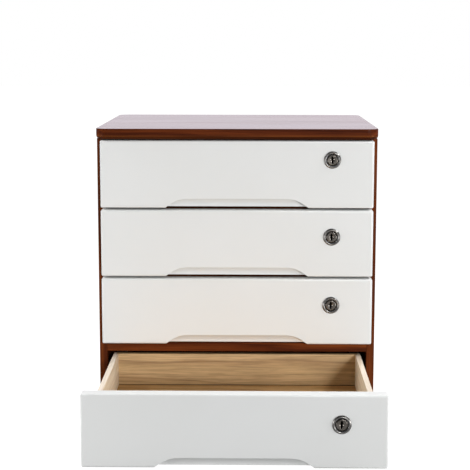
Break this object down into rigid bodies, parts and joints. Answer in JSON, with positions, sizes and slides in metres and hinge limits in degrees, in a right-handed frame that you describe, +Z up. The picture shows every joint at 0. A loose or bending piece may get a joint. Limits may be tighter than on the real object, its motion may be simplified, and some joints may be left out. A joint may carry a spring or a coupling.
{
  "type": "desktop drawer cabinet",
  "caption": "Desktop cabinet with walnut-stained case and white lacquered drawers on telescopic slides, each with a cam lock and a finger scoop.",
  "frame": {"origin": "on the resting plane, under the middle of the top board", "axes": "+Z up, -Y towards the drawer fronts, +X to the right as seen from the front"},
  "size_m": [0.36, 0.549, 0.3734],
  "materials": {
    "walnut_top": "walnut veneer under clear gloss lacquer",
    "walnut_case": "walnut-stained board, satin lacquer",
    "back_board": "stained thin board, matt",
    "white_lacquer": "board with white satin lacquer",
    "box_wood": "pale solid wood, sanded and sealed",
    "floor_ply": "pale plywood",
    "beech_dowel": "fluted dowel, raw",
    "slide_steel": "zinc-plated rolled steel",
    "lock_nickel": "nickel plate, bright",
    "lock_zinc": "zinc-plated sheet and bar",
    "screw_steel": "zinc-plated"
  },
  "bodies": {
    "case": {"top_board": "walnut_top", "side_panel_left": "walnut_case", "side_panel_right": "walnut_case", "back_panel": "back_board", "bottom_panel": "walnut_case", "rail_1": "walnut_case", "rail_2": "walnut_case", "rail_3": "walnut_case", "slide_outers_left": "slide_steel", "slide_outers_right": "slide_steel", "case_dowels": "beech_dowel", "slide_screws": "screw_steel"},
    "drawer_1": {"drawer_front_1": "white_lacquer", "drawer_side_left_1": "box_wood", "drawer_side_right_1": "box_wood", "drawer_back_1": "box_wood", "drawer_floor_1": "floor_ply", "slide_inners_1": "slide_steel", "lock_case_1": "lock_zinc", "lock_ring_1": "lock_nickel", "drawer_screws_1": "screw_steel"},
    "slides_1": {"slide_middles_1": "slide_steel"},
    "plug_1": {"lock_plug_1": "lock_nickel"},
    "bolt_1": {"lock_bolt_1": "lock_zinc"},
    "drawer_2": {"drawer_front_2": "white_lacquer", "drawer_side_left_2": "box_wood", "drawer_side_right_2": "box_wood", "drawer_back_2": "box_wood", "drawer_floor_2": "floor_ply", "slide_inners_2": "slide_steel", "lock_case_2": "lock_zinc", "lock_ring_2": "lock_nickel", "drawer_screws_2": "screw_steel"},
    "slides_2": {"slide_middles_2": "slide_steel"},
    "plug_2": {"lock_plug_2": "lock_nickel"},
    "bolt_2": {"lock_bolt_2": "lock_zinc"},
    "drawer_3": {"drawer_front_3": "white_lacquer", "drawer_side_left_3": "box_wood", "drawer_side_right_3": "box_wood", "drawer_back_3": "box_wood", "drawer_floor_3": "floor_ply", "slide_inners_3": "slide_steel", "lock_case_3": "lock_zinc", "lock_ring_3": "lock_nickel", "drawer_screws_3": "screw_steel"},
    "slides_3": {"slide_middles_3": "slide_steel"},
    "plug_3": {"lock_plug_3": "lock_nickel"},
    "bolt_3": {"lock_bolt_3": "lock_zinc"},
    "drawer_4": {"drawer_front_4": "white_lacquer", "drawer_side_left_4": "box_wood", "drawer_side_right_4": "box_wood", "drawer_back_4": "box_wood", "drawer_floor_4": "floor_ply", "slide_inners_4": "slide_steel", "lock_case_4": "lock_zinc", "lock_ring_4": "lock_nickel", "drawer_screws_4": "screw_steel"},
    "slides_4": {"slide_middles_4": "slide_steel"},
    "plug_4": {"lock_plug_4": "lock_nickel"},
    "bolt_4": {"lock_bolt_4": "lock_zinc"}
  },
  "joints": [
    {"name": "drawer_1_slide", "type": "slide", "parent": "case", "child": "drawer_1", "axis": [0, -1, 0], "range_m": [0, 0.226]},
    {"name": "slides_1_travel", "type": "slide", "parent": "case", "child": "slides_1", "axis": [0, -1, 0], "range_m": [0, 0.113]},
    {"name": "lock_1_turn", "type": "hinge", "parent": "drawer_1", "child": "plug_1", "pos_m": [0.1215, -0.159, 0.3341], "axis": [0, 1, 0], "range_deg": [0, 90]},
    {"name": "bolt_1_rise", "type": "slide", "parent": "drawer_1", "child": "bolt_1", "axis": [0, 0, 1], "range_m": [0, 0.00806]},
    {"name": "drawer_2_slide", "type": "slide", "parent": "case", "child": "drawer_2", "axis": [0, -1, 0], "range_m": [0, 0.226]},
    {"name": "slides_2_travel", "type": "slide", "parent": "case", "child": "slides_2", "axis": [0, -1, 0], "range_m": [0, 0.113]},
    {"name": "lock_2_turn", "type": "hinge", "parent": "drawer_2", "child": "plug_2", "pos_m": [0.1215, -0.159, 0.235], "axis": [0, 1, 0], "range_deg": [0, 90]},
    {"name": "bolt_2_rise", "type": "slide", "parent": "drawer_2", "child": "bolt_2", "axis": [0, 0, 1], "range_m": [0, 0.00806]},
    {"name": "drawer_3_slide", "type": "slide", "parent": "case", "child": "drawer_3", "axis": [0, -1, 0], "range_m": [0, 0.226]},
    {"name": "slides_3_travel", "type": "slide", "parent": "case", "child": "slides_3", "axis": [0, -1, 0], "range_m": [0, 0.113]},
    {"name": "lock_3_turn", "type": "hinge", "parent": "drawer_3", "child": "plug_3", "pos_m": [0.1215, -0.159, 0.146], "axis": [0, 1, 0], "range_deg": [0, 90]},
    {"name": "bolt_3_rise", "type": "slide", "parent": "drawer_3", "child": "bolt_3", "axis": [0, 0, 1], "range_m": [0, 0.00806]},
    {"name": "drawer_4_slide", "type": "slide", "parent": "case", "child": "drawer_4", "axis": [0, -1, 0], "range_m": [-0.226, 0]},
    {"name": "slides_4_travel", "type": "slide", "parent": "case", "child": "slides_4", "axis": [0, -1, 0], "range_m": [-0.113, 0]},
    {"name": "lock_4_turn", "type": "hinge", "parent": "drawer_4", "child": "plug_4", "pos_m": [0.1215, -0.385, 0.0546], "axis": [0, 1, 0], "range_deg": [0, 90]},
    {"name": "bolt_4_rise", "type": "slide", "parent": "drawer_4", "child": "bolt_4", "axis": [0, 0, 1], "range_m": [0, 0.00806]}
  ],
  "couplings": [
    {"joint": "slides_1_travel", "follows": "drawer_1_slide", "ratio": 0.5},
    {"joint": "bolt_1_rise", "follows": "lock_1_turn", "m_per_rad": 0.0051318},
    {"joint": "slides_2_travel", "follows": "drawer_2_slide", "ratio": 0.5},
    {"joint": "bolt_2_rise", "follows": "lock_2_turn", "m_per_rad": 0.0051318},
    {"joint": "slides_3_travel", "follows": "drawer_3_slide", "ratio": 0.5},
    {"joint": "bolt_3_rise", "follows": "lock_3_turn", "m_per_rad": 0.0051318},
    {"joint": "slides_4_travel", "follows": "drawer_4_slide", "ratio": 0.5},
    {"joint": "bolt_4_rise", "follows": "lock_4_turn", "m_per_rad": 0.0051318}
  ]
}
